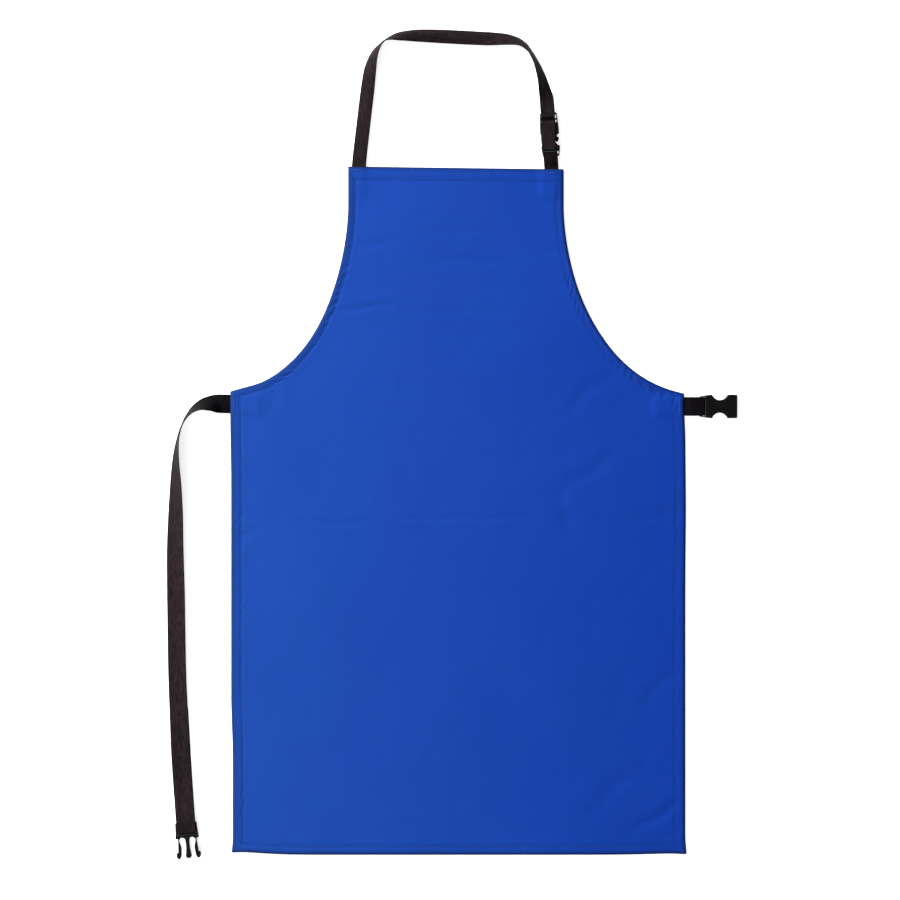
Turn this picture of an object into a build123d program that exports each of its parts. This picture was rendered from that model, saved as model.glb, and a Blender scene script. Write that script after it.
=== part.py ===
from build123d import *
import math
import os

# A welding apron laid flat, front up: layered panel, neck loop and waist straps with side-release buckles.
# Millimetres. +X to the wearer's left, +Y to the neck, +Z out of the front. The origin is on the back face,
# on the centre line, level with the waist corners.

# Panel
BIB_TOP = 302.0
BIB_HALF = 144.0
BIB_SIDE = 50.0          # straight length of the bib's side, below its top
SKIRT_HALF = 303.0
SKIRT_BOTTOM = -613.0
WAIST_CORNER = 1.0
ARMHOLE_TOP_PULL = 60.0  # how far the armhole curve keeps to the bib's side
ARMHOLE_LOW_PULL = 135.0  # how far it keeps to the slope of the waist corner
ARMHOLE_SLOPE = math.radians(11)
ARMHOLE_STEPS = 24

# Layers, from the back face up
CLOTH = 0.5
LINING = 0.4
PANEL_THICK = 4.0
HEM_DEPTH = 18.0
LAYER_GAP = 0.05

# Stitching
THREAD_WIDE = 0.7
THREAD_HIGH = 0.25
STITCH_ARMHOLE = 9.0
STITCH_SIDE = 13.0
STITCH_TOP = 18.0
STITCH_BOTTOM = 12.0
TACK_LONG = 2.4
TACK_INSET = 6.0

# Webbing
WEB = 1.2
NECK_WEB = 19.0
WAIST_WEB = 25.0
WEB_IN_HEM = 38.0
RIBBON_STEP = 9.0        # distance between the sections of a laid strap
UPPER_LAYER = PANEL_THICK - CLOTH - LAYER_GAP - WEB / 2
LOWER_LAYER = UPPER_LAYER - WEB - LAYER_GAP

# Neck strap, from inside the bib's left corner to the buckle plug: x, y, z of its centre, and how far
# its inner edge is lifted off the floor, in degrees
NECK_ROUTE = [
    (-133.6, 266.0, UPPER_LAYER, 0), (-132.3, 285.0, UPPER_LAYER, 0), (-130.7, 310.5, UPPER_LAYER, 0),
    (-128.8, 328.0, 3.1, 6), (-126.0, 352.0, 2.9, 9), (-122.9, 380.0, 2.9, 10), (-119.4, 408.0, 3.3, 12),
    (-116.6, 432.0, 5.4, 28), (-110.8, 455.0, 8.6, 56), (-98.0, 471.4, 9.8, 82), (-79.0, 477.8, 7.8, 46),
    (-53.0, 478.9, 5.0, 22), (-22.0, 477.7, 3.1, 9), (10.0, 476.1, 2.7, 6), (42.0, 474.4, 3.5, 12),
    (68.0, 473.2, 6.1, 32), (86.8, 468.3, 8.8, 56), (98.0, 456.2, 9.7, 70), (105.7, 441.8, 9.4, 64),
    (111.6, 426.2, 8.6, 52), (114.9, 413.5, 7.6, 41), (117.5, 401.5, 6.9, 24), (119.28, 394.8, 6.3, 8),
    (120.034, 383.89, 6.25, 0), (120.733, 373.91, 6.25, 0),
]
# Waist strap, from inside the skirt's left side to the buckle plug
WAIST_ROUTE = [
    (-263.0, -13.2, UPPER_LAYER, 0), (-284.0, -13.8, UPPER_LAYER, 0), (-314.5, -13.1, UPPER_LAYER, 0),
    (-329.0, -12.6, 7.8, 35), (-343.5, -15.2, 11.0, 58), (-356.4, -24.6, 12.4, 74), (-366.4, -40.5, 12.7, 82),
    (-371.9, -61.0, 12.6, 76), (-374.4, -89.0, 11.7, 62), (-374.2, -122.0, 9.9, 46), (-374.8, -160.0, 7.7, 32),
    (-375.9, -208.0, 5.6, 21), (-375.0, -264.0, 4.0, 12), (-374.3, -322.0, 3.7, 11), (-373.4, -380.0, 3.5, 10),
    (-371.2, -430.0, 3.0, 5), (-369.8, -474.0, 2.1, 0), (-367.0, -516.0, 2.0, 0), (-364.6, -543.0, 3.8, 0),
    (-362.96, -561.0, 7.65, 0), (-361.97, -571.28, 7.65, 0),
]
ARC_SHARE = 0.45         # share of the shorter run that each bend of a route takes
WAIST_TAIL = 150.0       # sewn-back end of the waist strap, under the strap
TAIL_STITCH = 68.0       # from the plug to the stitches that sew it
STITCH_ROWS = 4
STITCH_PITCH = 3.0
STITCH_MARGIN = 3.5      # from the strap's edges

# Side-release buckle for 25 mm webbing. Along: from the socket's strap bar to the plug's outer bar.
BUCKLE_HIGH = 9.0
SOCKET_LONG = 50.0
SOCKET_HALF = 15.7
SOCKET_BAR = 3.6
SOCKET_SLOT_END = 8.2
SLOT_HALF = 12.9
CAVITY_START = 14.0
CAVITY_HALF = 12.7
CAVITY_HIGH = 5.6
NOTCH_AT = 26.8
NOTCH_RADIUS = 11.0
NOTCH_OFF = 19.4
BAR_HIGH = 3.8
BAR_ROUND = 1.5
EDGE_ROUND = 1.4
PLUG_START = 50.3
PLUG_END = 73.0
PLUG_SHOULDER = 5.4
PLUG_HALF = 15.4
PLUG_HALF_OUT = 14.3
PLUG_FRAME_HIGH = 5.0
SLOT_A = (56.0, 60.0)
SLOT_B = (63.2, 68.8)
POST_TIP = 23.8
ARM_HIGH = 4.6
ARM_PIVOT_Y = 11.2
ARM_ROOT = 1.25
ARM_CLEAR = 0.12
ARM_FLARE = 4.0          # degrees that a free arm springs outward from where the socket holds it

# Where each buckle lies: place of its socket's bar edge, direction of +along in degrees, and its size
NECK_BUCKLE = (125.5, 317.2, 94.0, 0.8)
NECK_OFF = 0.8           # the strap lies to one side in the slots
NECK_REACH = 56.9        # from the socket's bar edge to where the laid strap meets its threaded end
WAIST_SOCKET = (323.4, -16.7, 0.0, 1.0)
WAIST_PLUG = (-355.1, -642.6, 95.5, 1.0)


def extruded(face, low, high):
    """The face as a slab from height low to height high."""
    return extrude(Pos(0, 0, low) * face, amount=high - low)


def block(x0, x1, y0, y1, z0, z1):
    """A box between two corners."""
    middle = Pos((x0 + x1) / 2, (y0 + y1) / 2, (z0 + z1) / 2)
    return middle * Box(x1 - x0, y1 - y0, z1 - z0)


# ---- panel -------------------------------------------------------------------------------------------------

def armhole(inset):
    """The right armhole, from the bib's side to the waist corner, moved into the panel by inset."""
    top = BIB_TOP - BIB_SIDE
    low = (
        SKIRT_HALF - ARMHOLE_LOW_PULL * math.cos(ARMHOLE_SLOPE),
        WAIST_CORNER + ARMHOLE_LOW_PULL * math.sin(ARMHOLE_SLOPE),
    )
    edge = Bezier((BIB_HALF, top), (BIB_HALF, top - ARMHOLE_TOP_PULL), low, (SKIRT_HALF, WAIST_CORNER))
    points = []
    for step in range(ARMHOLE_STEPS + 1):
        share = step / ARMHOLE_STEPS
        ahead = edge % share
        points.append(edge @ share + Vector(ahead.Y, -ahead.X) * inset)
    return Spline(points)


def inset_face(armholes, sides, top, bottom):
    """The apron's outline, moved inward by its own amount at the armholes, sides, top and bottom."""
    curve = armhole(armholes)
    bib_side, end_x = (curve @ 0).X, (curve @ 1).X
    right = Curve() + [
        Line((0, BIB_TOP), (bib_side, BIB_TOP)),
        Line((bib_side, BIB_TOP), curve @ 0),
        curve,
        Line(curve @ 1, (end_x, SKIRT_BOTTOM)),
        Line((end_x, SKIRT_BOTTOM), (0, SKIRT_BOTTOM)),
    ]
    whole = make_face(right + mirror(right, Plane.YZ))
    high, low = BIB_TOP - top, SKIRT_BOTTOM + bottom
    return whole & Pos(0, (high + low) / 2) * Rectangle(2 * (SKIRT_HALF - sides), high - low)


def panel_face(inset=0.0):
    """The apron's outline: bib, curved armholes and straight skirt, moved inward by inset."""
    return inset_face(inset, inset, inset, inset)


def hem_gates():
    """Where webbing passes through the edge of the panel, over both layers of a doubled strap."""
    low, high = LOWER_LAYER - WEB / 2 - LAYER_GAP, PANEL_THICK - CLOTH
    neck, waist = NECK_WEB / 2 + 4.5, WAIST_WEB / 2 + 1.5
    left_x, right_x = NECK_ROUTE[1][0], NECK_BUCKLE[0]
    left_y, right_y = WAIST_ROUTE[1][1], WAIST_SOCKET[1]
    depth = WEB_IN_HEM + 2
    return [
        block(left_x - neck, left_x + neck, BIB_TOP - depth, BIB_TOP + 1, low, high),
        block(right_x - neck, right_x + neck, BIB_TOP - depth, BIB_TOP + 1, low, high),
        block(-SKIRT_HALF - 1, -SKIRT_HALF + depth + 2, left_y - waist, left_y + waist, low, high),
        block(SKIRT_HALF - depth, SKIRT_HALF + 1, right_y - waist, right_y + waist, low, high),
    ]


def front_shell():
    """Blue front cloth, turned round the edge and back under by the hem's depth."""
    shell = extruded(panel_face(), 0, PANEL_THICK)
    shell -= extruded(panel_face(CLOTH), CLOTH, PANEL_THICK - CLOTH)
    shell -= extruded(panel_face(HEM_DEPTH), 0, CLOTH)
    for gate in hem_gates():
        shell -= gate
    return shell


def back_lining():
    """Lining cloth: flush with the hem in the open field, and over it at the edge."""
    field = extruded(panel_face(HEM_DEPTH + LAYER_GAP), 0, CLOTH)
    return field + extruded(panel_face(CLOTH + LAYER_GAP), CLOTH, CLOTH + LINING)


def heat_barrier():
    """Felt layer between lining and front, cut out where the strap ends lie."""
    felt = extruded(panel_face(2 * CLOTH), CLOTH + LINING, PANEL_THICK - CLOTH)
    for gate in hem_gates():
        felt -= gate
    return felt


def hem_topstitch():
    """The row of thread that holds the hem, standing on the front cloth."""
    outer = (STITCH_ARMHOLE, STITCH_SIDE, STITCH_TOP, STITCH_BOTTOM)
    inner = [inset + THREAD_WIDE for inset in outer]
    return extruded(inset_face(*outer) - inset_face(*inner), PANEL_THICK, PANEL_THICK + THREAD_HIGH)


def bar_tack(x, y, along_x, width):
    """Dense stitches across a strap's sewn-in end, on the front cloth."""
    size = (TACK_LONG, width) if along_x else (width, TACK_LONG)
    return extruded(Pos(x, y) * Rectangle(*size), PANEL_THICK, PANEL_THICK + THREAD_HIGH)


# ---- webbing -----------------------------------------------------------------------------------------------

def bend_radii(points):
    """The largest arc that each corner of a route can take, with ARC_SHARE of its shorter run."""
    radii = []
    for before, here, after in zip(points, points[1:], points[2:]):
        one, two = Vector(here) - Vector(before), Vector(after) - Vector(here)
        half_turn = math.radians(one.get_angle(two)) / 2
        radii.append(ARC_SHARE * min(one.length, two.length) / math.tan(half_turn))
    return radii


def roll_at(route, runs, share):
    """The roll at a share of the route's length, straight between its points."""
    total, passed = sum(runs), 0.0
    for index, run in enumerate(runs):
        if share * total <= passed + run:
            part = (share * total - passed) / run
            return route[index][3] * (1 - part) + route[index + 1][3] * part
        passed += run
    return route[-1][3]


def laid_strap(name, route, width, inner_side):
    """A ribbon along a route. inner_side is 1 where the lifted edge is on the right of its way, or -1."""
    points = [place[:3] for place in route]
    radii = bend_radii(points)
    path = FilletPolyline(*points, radius=radii)
    runs = [(Vector(b) - Vector(a)).length for a, b in zip(points, points[1:])]
    count = round(path.length / RIBBON_STEP)
    sections = []
    for step in range(count + 1):
        share = step / count
        at = path.position_at(share * path.length, position_mode=PositionMode.LENGTH)
        ahead = path.tangent_at(share * path.length, position_mode=PositionMode.LENGTH)
        level = ahead.cross(Vector(0, 0, 1)).normalized() * inner_side
        up = level.cross(ahead).normalized() * inner_side * -1
        up = up if up.Z > 0 else up * -1
        roll = math.radians(roll_at(route, runs, share))
        across = level * math.cos(roll) + up * math.sin(roll)
        sections.append(Plane(origin=at, x_dir=across, z_dir=ahead) * Rectangle(width, WEB))
    strap = loft(sections, ruled=True)
    tight = min(radii)
    print(f"{name}: length {path.length:.1f}, tightest arc {tight:.1f}, radii {[round(r) for r in radii]}")
    print(f"{name}: volume {strap.volume:.0f} against section x length {width * WEB * path.length:.0f}")
    return strap


def folded_strap(points, radii, width):
    """Webbing that runs and folds in the plane of its length: points are (along, up)."""
    path = FilletPolyline(*[(u, 0, z) for u, z in points], radius=radii)
    start = Plane(origin=path @ 0, x_dir=(0, 1, 0), z_dir=path % 0)
    return sweep(start * Rectangle(width, WEB), path=path)


# ---- buckles -----------------------------------------------------------------------------------------------

def mirrored(face):
    """The face and its mirror image across the buckle's centre line."""
    return face + mirror(face, Plane.XZ)


def rounded_slab(face, low, high, radius):
    """A slab with its upper and lower rims rounded."""
    slab = extruded(face, low, high)
    rims = slab.edges().group_by(Axis.Z)
    return fillet(rims[0] + rims[-1], radius)


def slot(start, end, half):
    """A through slot for webbing."""
    return block(start, end, -half, half, -1, BUCKLE_HIGH + 1)


def strap_bar(start, end, high):
    """A round-edged bar across the buckle, for webbing to turn round."""
    profile = RectangleRounded(end - start, high, min(BAR_ROUND, (end - start) / 2 - 0.05))
    origin = ((start + end) / 2, SLOT_HALF + 0.5, BUCKLE_HIGH / 2)
    upright = Plane(origin=origin, x_dir=(1, 0, 0), z_dir=(0, -1, 0))
    return extrude(upright * profile, amount=2 * SLOT_HALF + 1)


def buckle_socket():
    """Female half: strap bar, waisted body and the hollow that takes the plug's arms and post."""
    half = make_face(
        Polyline((0, 0), (0, 13.5), (8, 14.9), (15, SOCKET_HALF), (SOCKET_LONG - 1.4, SOCKET_HALF),
                 (SOCKET_LONG, SOCKET_HALF - 1.2), (SOCKET_LONG, 0), close=True)
    )
    outline = mirrored(half)
    for side in (1, -1):
        outline -= Pos(NOTCH_AT, side * NOTCH_OFF) * Circle(NOTCH_RADIUS)
    body = rounded_slab(outline, 0, BUCKLE_HIGH, EDGE_ROUND)
    middle = BUCKLE_HIGH / 2
    body -= block(CAVITY_START, SOCKET_LONG + 1, -CAVITY_HALF, CAVITY_HALF,
                  middle - CAVITY_HIGH / 2, middle + CAVITY_HIGH / 2)
    body -= slot(-1, SOCKET_SLOT_END, SLOT_HALF)
    return body + strap_bar(0, SOCKET_BAR, BAR_HIGH)


def plug_frame():
    """Male half's frame: shoulder, two strap bars and the centre post."""
    middle = BUCKLE_HIGH / 2
    half = make_face(
        Polyline((PLUG_START, 0), (PLUG_START, PLUG_HALF), (PLUG_END - 2.4, PLUG_HALF_OUT),
                 (PLUG_END, PLUG_HALF_OUT - 2.4), (PLUG_END, 0), close=True)
    )
    outline = mirrored(half)
    frame = rounded_slab(outline, middle - PLUG_FRAME_HIGH / 2, middle + PLUG_FRAME_HIGH / 2, EDGE_ROUND)
    shoulder_end = PLUG_START + PLUG_SHOULDER
    shoulder = outline & Pos((PLUG_START + shoulder_end) / 2, 0) * Rectangle(PLUG_SHOULDER, 4 * PLUG_HALF)
    frame += rounded_slab(shoulder, 0.3, BUCKLE_HIGH - 0.3, EDGE_ROUND)
    frame -= slot(SLOT_A[0], SLOT_B[1], SLOT_HALF)
    frame += strap_bar(SLOT_A[1], SLOT_B[0], PLUG_FRAME_HIGH)
    for side in (1, -1):
        scallop = Pos(PLUG_START - 1.2, side * 6.8) * Circle(3.1)
        frame -= extruded(scallop, 0, BUCKLE_HIGH)
        seat = Pos(PLUG_START, side * ARM_PIVOT_Y) * Circle(ARM_ROOT + ARM_CLEAR)
        frame -= extruded(seat, 0, BUCKLE_HIGH)
    post = make_face(
        Polyline((PLUG_START + 1, 0), (PLUG_START + 1, 3.0), (PLUG_START - 6, 2.4), (37, 2.5), (31, 3.3),
                 (27, 3.9), (24.8, 3.0), (POST_TIP, 1.2), (POST_TIP, 0), close=True)
    )
    return frame + rounded_slab(mirrored(post), middle - ARM_HIGH / 2, middle + ARM_HIGH / 2, 0.8)


def plug_arm(side):
    """Spring arm with its latching pad, held where the socket holds it. side is 1 or -1."""
    middle = BUCKLE_HIGH / 2
    outer = Polyline((PLUG_START, 12.1), (46.2, 12.2), (31.7, 12.3), (31.3, 14.0))
    bulge = ThreePointArc((31.3, 14.0), (27.2, 14.6), (22.9, 11.0))
    inner = Spline(
        (22.9, 11.0), (26.4, 8.6), (33, 8.0), (40, 8.3), (44.2, 9.9), (46.6, 10.7), (PLUG_START, 10.8))
    pad = make_face(Wire([*outer.edges(), bulge, inner, Line((PLUG_START, 10.8), (PLUG_START, 12.1))]))
    pad += Pos(PLUG_START, ARM_PIVOT_Y) * Circle(ARM_ROOT)
    arm = extruded(pad, middle - ARM_HIGH / 2, middle + ARM_HIGH / 2)
    return arm if side == 1 else mirror(arm, Plane.XZ)


def flared(arm, side):
    """The arm as it springs when nothing holds it."""
    pivot = Pos(PLUG_START, side * ARM_PIVOT_Y, 0)
    return pivot * Rot(0, 0, -side * ARM_FLARE) * pivot.inverse() * arm


def socket_strap(buckle, hem, width):
    """Doubled strap from inside the hem, round the socket's bar and back. hem: the panel's edge, along it."""
    size = buckle[3]
    middle, bar = BUCKLE_HIGH * size / 2, SOCKET_BAR * size
    over = middle + BAR_HIGH * size / 2 + WEB / 2 + LAYER_GAP
    under = 2 * middle - over
    turn = bar + WEB / 2 + LAYER_GAP
    inside = hem - WEB_IN_HEM
    points = [(inside, UPPER_LAYER), (hem + 1.5, UPPER_LAYER), (-1.5, over), (turn, over),
              (turn, under), (-1.5, under), (hem + 1.5, LOWER_LAYER), (inside, LOWER_LAYER)]
    fold = BAR_ROUND * size + WEB / 2
    return folded_strap(points, [3, 3, fold, fold, 3, 3], width)


def neck_tail():
    """Threaded end of the neck strap: over the outer bar, round the inner one, and loose over the socket."""
    size = NECK_BUCKLE[3]
    middle = BUCKLE_HIGH * size / 2
    over = middle + PLUG_FRAME_HIGH * size / 2 + WEB / 2 + LAYER_GAP
    under = 2 * middle - over
    top = BUCKLE_HIGH * size + WEB / 2 + LAYER_GAP
    dive = SLOT_B[0] * size + WEB / 2 + LAYER_GAP + 0.4
    rise = SLOT_A[1] * size - WEB / 2 - LAYER_GAP - 0.4
    shoulder = (PLUG_START + PLUG_SHOULDER + 0.5) * size
    points = [(NECK_REACH, over), (dive, over), (dive, under), (rise, under), (rise, top),
              (shoulder - 3, top + 0.3), (10.0, top)]
    return Pos(0, NECK_OFF, 0) * folded_strap(points, [1.0, 1.0, 1.0, 1.0, 3], NECK_WEB)


def neck_socket_strap():
    """The doubled strap of the neck buckle's socket, to one side in its slot like the threaded end."""
    return Pos(0, NECK_OFF, 0) * socket_strap(NECK_BUCKLE, BIB_TOP - NECK_BUCKLE[1], NECK_WEB)


def waist_tail():
    """Sewn-back end of the waist strap: over both bars, down beside the shoulder, and back under the strap."""
    middle = BUCKLE_HIGH / 2
    over = middle + PLUG_FRAME_HIGH / 2 + WEB / 2 + LAYER_GAP
    under = 2 * middle - over
    turn = SLOT_A[1] - WEB / 2 - LAYER_GAP - 0.4
    outside = PLUG_END - 1.4
    floor = WEB / 2
    points = [(outside, over), (turn, over), (turn, under), (PLUG_END + 2, under), (PLUG_END + 12, floor),
              (PLUG_END + WAIST_TAIL, floor)]
    return folded_strap(points, [1.6, 1.6, 6, 6], WAIST_WEB)


def placed(shape, buckle):
    """A buckle piece where its buckle lies, at that buckle's size."""
    x, y, angle, size = buckle
    return Pos(x, y, 0) * Rot(0, 0, angle) * scale(shape, by=size)


def placed_webbing(shape, buckle):
    """Webbing drawn in a buckle's own frame at its real thickness, where the buckle lies."""
    x, y, angle, _ = buckle
    return Pos(x, y, 0) * Rot(0, 0, angle) * shape


def tail_stitch():
    """Rows of thread that sew the waist strap to its tail."""
    start, height = PLUG_END + TAIL_STITCH, WAIST_ROUTE[-5][2] + WEB / 2 + 2 * LAYER_GAP
    half = WAIST_WEB / 2 - STITCH_MARGIN
    rows = []
    for row in range(STITCH_ROWS):
        along = start + row * STITCH_PITCH
        rows.append(block(along, along + THREAD_WIDE, -half, half, height, height + THREAD_HIGH))
    return Compound(children=rows)


def make_parts():
    """Every node of the apron, by name."""
    waist_hem = SKIRT_HALF - WAIST_SOCKET[0]
    near_top, near_side = BIB_TOP - TACK_INSET, SKIRT_HALF - TACK_INSET
    parts = {
        "front_shell": front_shell(),
        "heat_barrier": heat_barrier(),
        "back_lining": back_lining(),
        "hem_topstitch": hem_topstitch(),
        "neck_left_bar_tack": bar_tack(NECK_ROUTE[1][0], near_top, False, NECK_WEB),
        "neck_right_bar_tack": bar_tack(NECK_BUCKLE[0], near_top, False, NECK_WEB),
        "waist_left_bar_tack": bar_tack(-near_side, WAIST_ROUTE[1][1], True, WAIST_WEB),
        "waist_right_bar_tack": bar_tack(near_side, WAIST_SOCKET[1], True, WAIST_WEB),
        "neck_strap": laid_strap("neck_strap", NECK_ROUTE, NECK_WEB, 1),
        "neck_strap_tail": placed_webbing(neck_tail(), NECK_BUCKLE),
        "neck_socket_strap": placed_webbing(neck_socket_strap(), NECK_BUCKLE),
        "neck_buckle_socket": placed(buckle_socket(), NECK_BUCKLE),
        "neck_buckle_plug": placed(plug_frame(), NECK_BUCKLE),
        "waist_strap": laid_strap("waist_strap", WAIST_ROUTE, WAIST_WEB, -1),
        "waist_strap_tail": placed_webbing(waist_tail(), WAIST_PLUG),
        "waist_tail_stitch": placed_webbing(tail_stitch(), WAIST_PLUG),
        "waist_socket_strap": placed_webbing(socket_strap(WAIST_SOCKET, waist_hem, WAIST_WEB), WAIST_SOCKET),
        "waist_buckle_socket": placed(buckle_socket(), WAIST_SOCKET),
        "waist_buckle_plug": placed(plug_frame(), WAIST_PLUG),
    }
    for name, side in (("left", 1), ("right", -1)):
        parts[f"neck_plug_arm_{name}"] = placed(plug_arm(side), NECK_BUCKLE)
        parts[f"waist_plug_arm_{name}"] = placed(flared(plug_arm(side), side), WAIST_PLUG)
    return parts


os.makedirs("parts", exist_ok=True)
for node, shape in make_parts().items():
    export_step(shape, f"parts/{node}.step")
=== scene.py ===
"""A welding apron laid flat on a pale floor: blue layered cloth with turned hems, black webbing and buckles.

Lengths are in millimetres in the tables and functions here, and turn into metres when a mesh is made.
"""
import math

import bpy
import numpy as np
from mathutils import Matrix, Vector, geometry


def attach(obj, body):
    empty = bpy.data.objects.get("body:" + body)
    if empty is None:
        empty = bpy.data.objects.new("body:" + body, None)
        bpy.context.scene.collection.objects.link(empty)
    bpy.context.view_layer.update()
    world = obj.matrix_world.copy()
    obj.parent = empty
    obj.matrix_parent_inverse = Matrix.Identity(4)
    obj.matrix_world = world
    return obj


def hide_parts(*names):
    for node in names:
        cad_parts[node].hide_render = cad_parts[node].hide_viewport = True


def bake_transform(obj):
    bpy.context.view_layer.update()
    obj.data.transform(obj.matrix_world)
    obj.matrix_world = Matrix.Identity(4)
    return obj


MM = 0.001

# ---- the object's own sizes, as in the CAD source ------------------------------------------------
BIB_TOP = 302.0
BIB_HALF = 144.0
BIB_LOW = 252.0
SKIRT_HALF = 303.0
SKIRT_BOTTOM = -613.0
WAIST_CORNER = 1.0
ARMHOLE_CONTROLS = [(SKIRT_HALF, WAIST_CORNER), (170.48, 26.76), (BIB_HALF, 192.0), (BIB_HALF, BIB_LOW)]
PANEL_THICK = 4.0
HEM_DEPTH = 18.0
LINING_INSET = 13.0    # from the apron's edge to the lining's, inside the hem
LINING_THICK = 0.4

WEB = 1.2
NECK_WEB = 19.0
WAIST_WEB = 25.0
UPPER_LAYER = 2.85
LOWER_LAYER = 1.6

# Strap routes: x, y, z of the centre, and how far the inner edge is lifted, in degrees
NECK_ROUTE = [
    (-133.6, 266.0, UPPER_LAYER, 0), (-132.3, 285.0, UPPER_LAYER, 0), (-130.7, 310.5, UPPER_LAYER, 0),
    (-128.8, 328.0, 3.1, 6), (-126.0, 352.0, 2.9, 9), (-122.9, 380.0, 2.9, 10), (-119.4, 408.0, 3.3, 12),
    (-116.6, 432.0, 5.4, 28), (-110.8, 455.0, 8.6, 56), (-98.0, 471.4, 9.8, 82), (-79.0, 477.8, 7.8, 46),
    (-53.0, 478.9, 5.0, 22), (-22.0, 477.7, 3.1, 9), (10.0, 476.1, 2.7, 6), (42.0, 474.4, 3.5, 12),
    (68.0, 473.2, 6.1, 32), (86.8, 468.3, 8.8, 56), (98.0, 456.2, 9.7, 70), (105.7, 441.8, 9.4, 64),
    (111.6, 426.2, 8.6, 52), (114.9, 413.5, 7.6, 41), (117.5, 401.5, 6.9, 24), (119.28, 394.8, 6.3, 8),
    (120.034, 383.89, 6.25, 0), (120.733, 373.91, 6.25, 0),
]
WAIST_ROUTE = [
    (-263.0, -13.2, UPPER_LAYER, 0), (-284.0, -13.8, UPPER_LAYER, 0), (-314.5, -13.1, UPPER_LAYER, 0),
    (-329.0, -12.6, 7.8, 35), (-343.5, -15.2, 11.0, 58), (-356.4, -24.6, 12.4, 74), (-366.4, -40.5, 12.7, 82),
    (-371.9, -61.0, 12.6, 76), (-374.4, -89.0, 11.7, 62), (-374.2, -122.0, 9.9, 46),
    (-374.8, -160.0, 7.7, 32), (-375.9, -208.0, 5.6, 21), (-375.0, -264.0, 4.0, 12),
    (-374.3, -322.0, 3.7, 11), (-373.4, -380.0, 3.5, 10), (-371.2, -430.0, 3.0, 5),
    (-369.8, -474.0, 2.1, 0), (-367.0, -516.0, 2.0, 0), (-364.6, -543.0, 3.8, 0),
    (-362.96, -561.0, 7.65, 0), (-361.97, -571.28, 7.65, 0),
]
HEM_END = 62.0         # length of the neck strap that bends with the bib's hem
WAIST_HIDDEN = 20.0    # length of the waist strap inside the hem that no view reaches

# Buckles: x, y of the socket's bar edge, direction of +along in degrees, size against the 25 mm buckle
NECK_BUCKLE = (125.5, 317.2, 94.0, 0.8)
NECK_OFF = 0.8         # how far the neck strap lies to one side in its slots
WAIST_SOCKET = (323.4, -16.7, 0.0, 1.0)
WAIST_PLUG = (-355.1, -642.6, 95.5, 1.0)

# ---- looks ---------------------------------------------------------------------------------------
# Cloth: its mottle runs between these two, and painted light shifts the mix across it from left to right
CLOTH_BLUE = (0.0098, 0.0600, 0.335, 1.0)
CLOTH_DEEP = (0.0015, 0.0335, 0.328, 1.0)
THREAD_BLUE = (0.014, 0.065, 0.40, 1.0)
# Webbing: painted shade pulls its mottle toward the black
WEB_BLACK = (0.0020, 0.0013, 0.0024, 1.0)
WEB_BROWN = (0.0250, 0.0145, 0.0185, 1.0)
THREAD_BLACK = (0.012, 0.011, 0.012, 1.0)
PLASTIC_BLACK = (0.0022, 0.0021, 0.0023, 1.0)

# Camera and light
VIEW_CENTRE = (-9.5, -74.8)
VIEW_SPAN = 1202.4
LENS = 85.0
SENSOR = 36.0
FLOOR_WIDE = 160       # metres, like its level: to the horizon, and just under the cloth
FLOOR_LEVEL = -0.0002

# Cloth relief. By the kind of edge: how far in the stitches are, how high their puckers stand, how deep their
# groove is, and how much painted shade darkens the hem
STITCH_INSET = {"bottom": 12.0, "side": 13.0, "armhole": 9.0, "top": 17.0}
PUCKER = {"bottom": 0.16, "side": 0.14, "armhole": 0.40, "top": 0.12}
GROOVE = {"bottom": 0.20, "side": 0.19, "armhole": 0.30, "top": 0.15}
HEM_SHADE = {"bottom": 0.08, "side": 0.10, "armhole": 0.24, "top": 0.06}
PERIMETER_STEP = 2.4
FIELD_STEP = 3.0
STRAP_STEP = 0.8
STITCH_PITCH = 3.5
TACK_INSET = 6         # from the apron's edge to the middle of a bar tack
TACK_PITCH = 0.8
EDGE_ROUND = 4.6
UNDER_ROUND = 2.0
HEM_CROWN = 0.45
GROOVE_WIDTH = 2.8
EDGE_BAND = 4.3        # width of the painted shade along the edge
BAND_SWING = 1.3       # how much wider the painted shade is at the left edge, which faces the light, and narrower at the right
# Creases: start, end, depth, width
CREASES = [
    ((-154, 113), (-80, 119), 0.62, 4.5),
    ((-62, 108), (86, 112), 0.24, 5.0),
    ((-136, 196), (-90, 202), 0.45, 5.0),
    ((-50, 214), (38, 216), 0.28, 5.0),
    ((-34, 177), (66, 179), 0.28, 5.0),
    ((104, 196), (134, 189), 0.40, 5.0),
    ((-214, -172), (-116, -172), 0.25, 4.5),
    ((-82, -167), (94, -165), 0.32, 4.0),
    ((208, 30), (140, -26), 0.40, 9.0),
    ((212, -78), (124, -138), 0.44, 9.0),
    ((126, -130), (156, -186), 0.45, 9.0),
    ((262, -478), (168, -564), 0.42, 11.0),
    ((294, -546), (236, -580), 0.80, 7.5),
    ((290, -364), (246, -416), 0.40, 8.0),
    ((288, -156), (236, -165), 0.35, 7.5),
    ((-290, -346), (-232, -374), 0.40, 7.0),
    ((-296, -196), (-258, -177), 0.35, 6.0),
    ((-240, 18), (-253, -32), 0.35, 7.0),
]
# Cloth raised over the strap ends inside the hem: two corners, height
STRAP_BUMPS = [
    ((-144, 262), (-121, 312), 0.8),
    ((112, 262), (138, 312), 1.2),
    ((-314, -27), (-262, 0), 0.9),
    ((262, -30), (314, -3), 1.2),
]


def smoothstep(value, low, high):
    """0 below low, 1 above high, smooth between."""
    share = np.clip((np.asarray(value, float) - low) / (high - low), 0, 1)
    return share * share * (3 - 2 * share)


# ---- meshes --------------------------------------------------------------------------------------

def along_line(line):
    """Distance travelled along a polyline at each of its points."""
    return np.concatenate([[0], np.cumsum(np.linalg.norm(np.diff(line, axis=0), axis=1))])


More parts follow.
